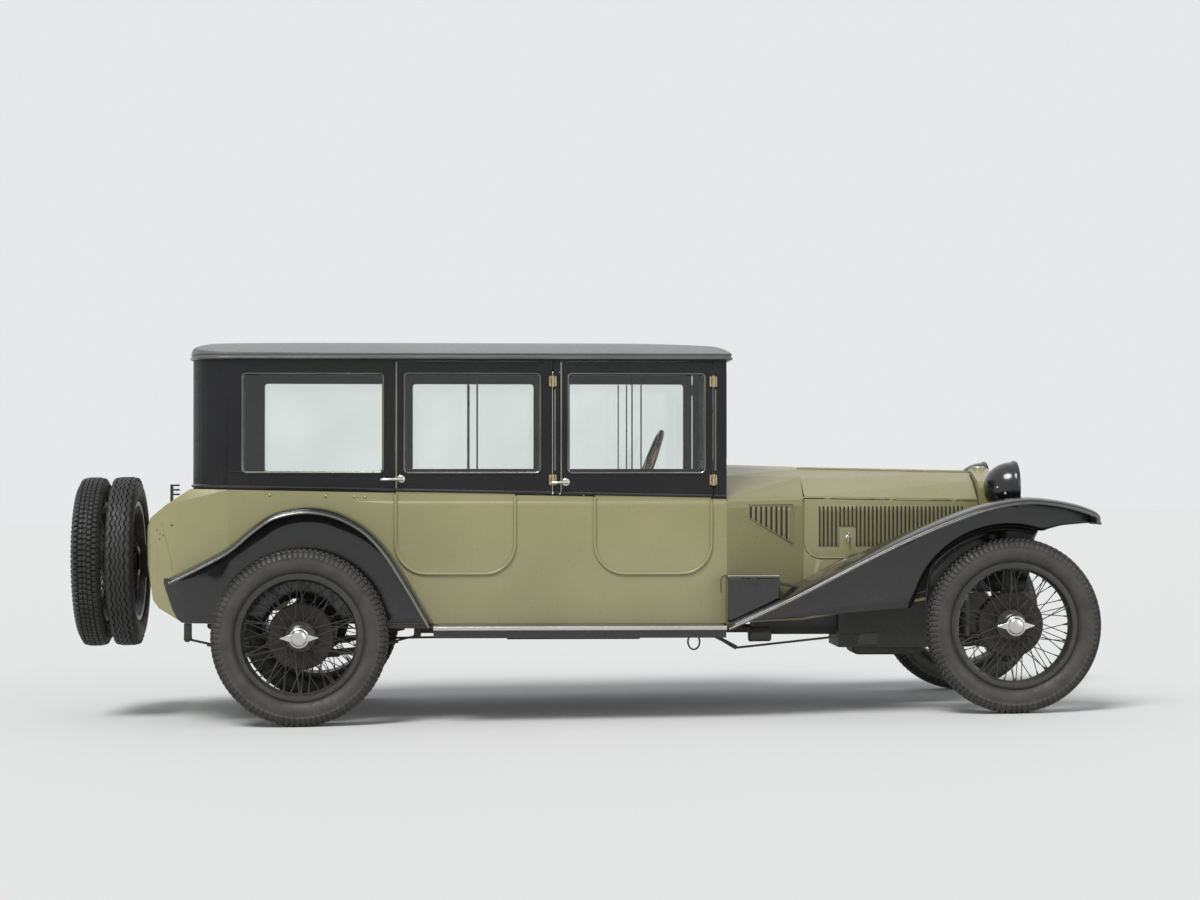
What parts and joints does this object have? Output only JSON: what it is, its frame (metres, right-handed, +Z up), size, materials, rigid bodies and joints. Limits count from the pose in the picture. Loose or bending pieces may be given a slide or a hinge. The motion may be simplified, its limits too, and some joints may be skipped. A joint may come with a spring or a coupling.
{
  "type": "1920s closed touring car",
  "caption": "Closed 1920s car with a fabric-covered hard top, folding bonnet, separate wings and wire wheels, with opening doors, bonnet and boot, and steering.",
  "frame": {"origin": "on the ground, midway between the car's front and rear ends, on its centre line", "axes": "+X forward, +Y to the car's left, +Z up"},
  "size_m": [4.5114, 1.612, 1.6765],
  "materials": {
    "khaki_paint": "faded olive-khaki coach paint, satin, dusty",
    "black_paint": "black coach enamel, glossy, lightly worn",
    "wheel_paint": "black stove enamel, dusty",
    "black_leathercloth": "grained black leathercloth, semi-matt",
    "roof_cover": "grained grey roofing cloth with a sheen",
    "window_glass": "clear plate glass, slightly smoked",
    "lamp_glass": "clear ribbed lamp glass",
    "nickel": "nickel plate, polished",
    "brass": "brass, dulled",
    "radiator_metal": "dark painted honeycomb",
    "engine_iron": "grey cast iron",
    "chassis_iron": "black chassis paint, dusty",
    "exhaust_steel": "dull heated steel",
    "floor_boards": "dark stained boards",
    "dark_wood": "varnished walnut",
    "seat_leather": "worn brown leather",
    "tyre_rubber": "black rubber with grey dust on the walls"
  },
  "bodies": {
    "root": {"body_tub": "khaki_paint", "floor_pan": "floor_boards", "scuttle": "khaki_paint", "chassis_front": "khaki_paint", "dashboard": "dark_wood", "seat_frames": "black_paint", "seat_cushions": "seat_leather", "hard_top": "black_leathercloth", "roof": "roof_cover", "fixed_glass": "window_glass", "radiator_shell": "khaki_paint", "radiator_core": "radiator_metal", "headlamps": "black_paint", "headlamp_lenses": "lamp_glass", "engine": "engine_iron", "rear_axle": "chassis_iron", "leaf_springs": "chassis_iron", "front_suspension": "chassis_iron", "exhaust": "exhaust_steel", "front_wings": "black_paint", "rear_wings": "black_paint", "running_boards": "black_paint", "spare_carrier": "chassis_iron", "spare_wheels": "wheel_paint", "spare_tyres": "tyre_rubber", "driver_controls": "chassis_iron"},
    "front_door_right": {"front_door_panel_right": "khaki_paint", "front_door_frame_right": "black_leathercloth", "front_door_glass_right": "window_glass"},
    "front_door_left": {"front_door_panel_left": "khaki_paint", "front_door_frame_left": "black_leathercloth", "front_door_glass_left": "window_glass"},
    "rear_door_right": {"rear_door_panel_right": "khaki_paint", "rear_door_frame_right": "black_leathercloth", "rear_door_glass_right": "window_glass"},
    "rear_door_left": {"rear_door_panel_left": "khaki_paint", "rear_door_frame_left": "black_leathercloth", "rear_door_glass_left": "window_glass"},
    "bonnet_top_right": {"bonnet_top_right": "khaki_paint"},
    "bonnet_side_right": {"bonnet_side_right": "khaki_paint"},
    "knuckle_right": {"knuckle_right": "chassis_iron"},
    "front_wheel_right": {"front_wheel_right": "wheel_paint", "front_tyre_right": "tyre_rubber"},
    "rear_wheel_right": {"rear_wheel_right": "wheel_paint", "rear_tyre_right": "tyre_rubber"},
    "bonnet_top_left": {"bonnet_top_left": "khaki_paint"},
    "bonnet_side_left": {"bonnet_side_left": "khaki_paint"},
    "knuckle_left": {"knuckle_left": "chassis_iron"},
    "front_wheel_left": {"front_wheel_left": "wheel_paint", "front_tyre_left": "tyre_rubber"},
    "rear_wheel_left": {"rear_wheel_left": "wheel_paint", "rear_tyre_left": "tyre_rubber"},
    "boot_lid": {"boot_lid": "khaki_paint"},
    "track_rod": {"track_rod": "chassis_iron"},
    "steering_wheel": {"steering_wheel": "dark_wood"}
  },
  "joints": [
    {"name": "front_door_right_swing", "type": "hinge", "parent": "root", "child": "front_door_right", "pos_m": [0.57553, -0.608, 1.0349], "axis": [0.014, 0, 0.9999], "range_deg": [0, 70]},
    {"name": "front_door_left_swing", "type": "hinge", "parent": "root", "child": "front_door_left", "pos_m": [0.57553, 0.608, 1.0349], "axis": [-0.014, 0, -0.9999], "range_deg": [0, 70]},
    {"name": "rear_door_right_swing", "type": "hinge", "parent": "root", "child": "rear_door_right", "pos_m": [-0.1264, -0.608, 1.0447], "axis": [0.014, 0, 0.9999], "range_deg": [0, 70]},
    {"name": "rear_door_left_swing", "type": "hinge", "parent": "root", "child": "rear_door_left", "pos_m": [-0.1264, 0.608, 1.0447], "axis": [-0.014, 0, -0.9999], "range_deg": [0, 70]},
    {"name": "bonnet_top_left_lift", "type": "hinge", "parent": "root", "child": "bonnet_top_left", "pos_m": [1.40507, 0, 1.06732], "axis": [0.9994, 0, -0.034], "range_deg": [0, 80]},
    {"name": "bonnet_side_left_fold", "type": "hinge", "parent": "bonnet_top_left", "child": "bonnet_side_left", "pos_m": [1.40326, 0.289, 0.93783], "axis": [0.9918, -0.124, -0.03], "range_deg": [0, 70]},
    {"name": "bonnet_top_right_lift", "type": "hinge", "parent": "root", "child": "bonnet_top_right", "pos_m": [1.40507, 0, 1.06732], "axis": [-0.9994, 0, 0.034], "range_deg": [0, 80]},
    {"name": "bonnet_side_right_fold", "type": "hinge", "parent": "bonnet_top_right", "child": "bonnet_side_right", "pos_m": [1.40326, -0.289, 0.93783], "axis": [-0.9918, -0.124, 0.03], "range_deg": [0, 70]},
    {"name": "boot_lid_lift", "type": "hinge", "parent": "root", "child": "boot_lid", "pos_m": [-1.73282, 0, 1.01897], "axis": [0, 1, 0], "range_deg": [0, 75]},
    {"name": "knuckle_right_steer", "type": "hinge", "parent": "root", "child": "knuckle_right", "pos_m": [1.87325, -0.52, 0.3825], "axis": [0, 0, 1], "range_deg": [-30, 30]},
    {"name": "knuckle_left_steer", "type": "hinge", "parent": "root", "child": "knuckle_left", "pos_m": [1.87325, 0.52, 0.3825], "axis": [0, 0, 1], "range_deg": [-30, 30]},
    {"name": "track_rod_pivot", "type": "hinge", "parent": "knuckle_right", "child": "track_rod", "pos_m": [1.71325, -0.52, 0.3], "axis": [0, 0, 1], "range_deg": [-30, 30]},
    {"name": "steering_wheel_turn", "type": "hinge", "parent": "root", "child": "steering_wheel", "pos_m": [0.29387, -0.33, 1.06083], "axis": [-0.9304, 0, 0.3665], "range_deg": [-300, 300]},
    {"name": "front_wheel_right_spin", "type": "hinge", "parent": "knuckle_right", "child": "front_wheel_right", "pos_m": [1.87325, -0.666, 0.3825], "axis": [0, 1, 0], "continuous": true},
    {"name": "rear_wheel_right_spin", "type": "hinge", "parent": "root", "child": "rear_wheel_right", "pos_m": [-1.22675, -0.694, 0.3825], "axis": [0, 1, 0], "continuous": true},
    {"name": "front_wheel_left_spin", "type": "hinge", "parent": "knuckle_left", "child": "front_wheel_left", "pos_m": [1.87325, 0.666, 0.3825], "axis": [0, 1, 0], "continuous": true},
    {"name": "rear_wheel_left_spin", "type": "hinge", "parent": "root", "child": "rear_wheel_left", "pos_m": [-1.22675, 0.694, 0.3825], "axis": [0, 1, 0], "continuous": true}
  ],
  "couplings": [
    {"joint": "knuckle_left_steer", "follows": "knuckle_right_steer", "ratio": 1},
    {"joint": "track_rod_pivot", "follows": "knuckle_right_steer", "ratio": -1},
    {"joint": "steering_wheel_turn", "follows": "knuckle_right_steer", "ratio": 10}
  ]
}
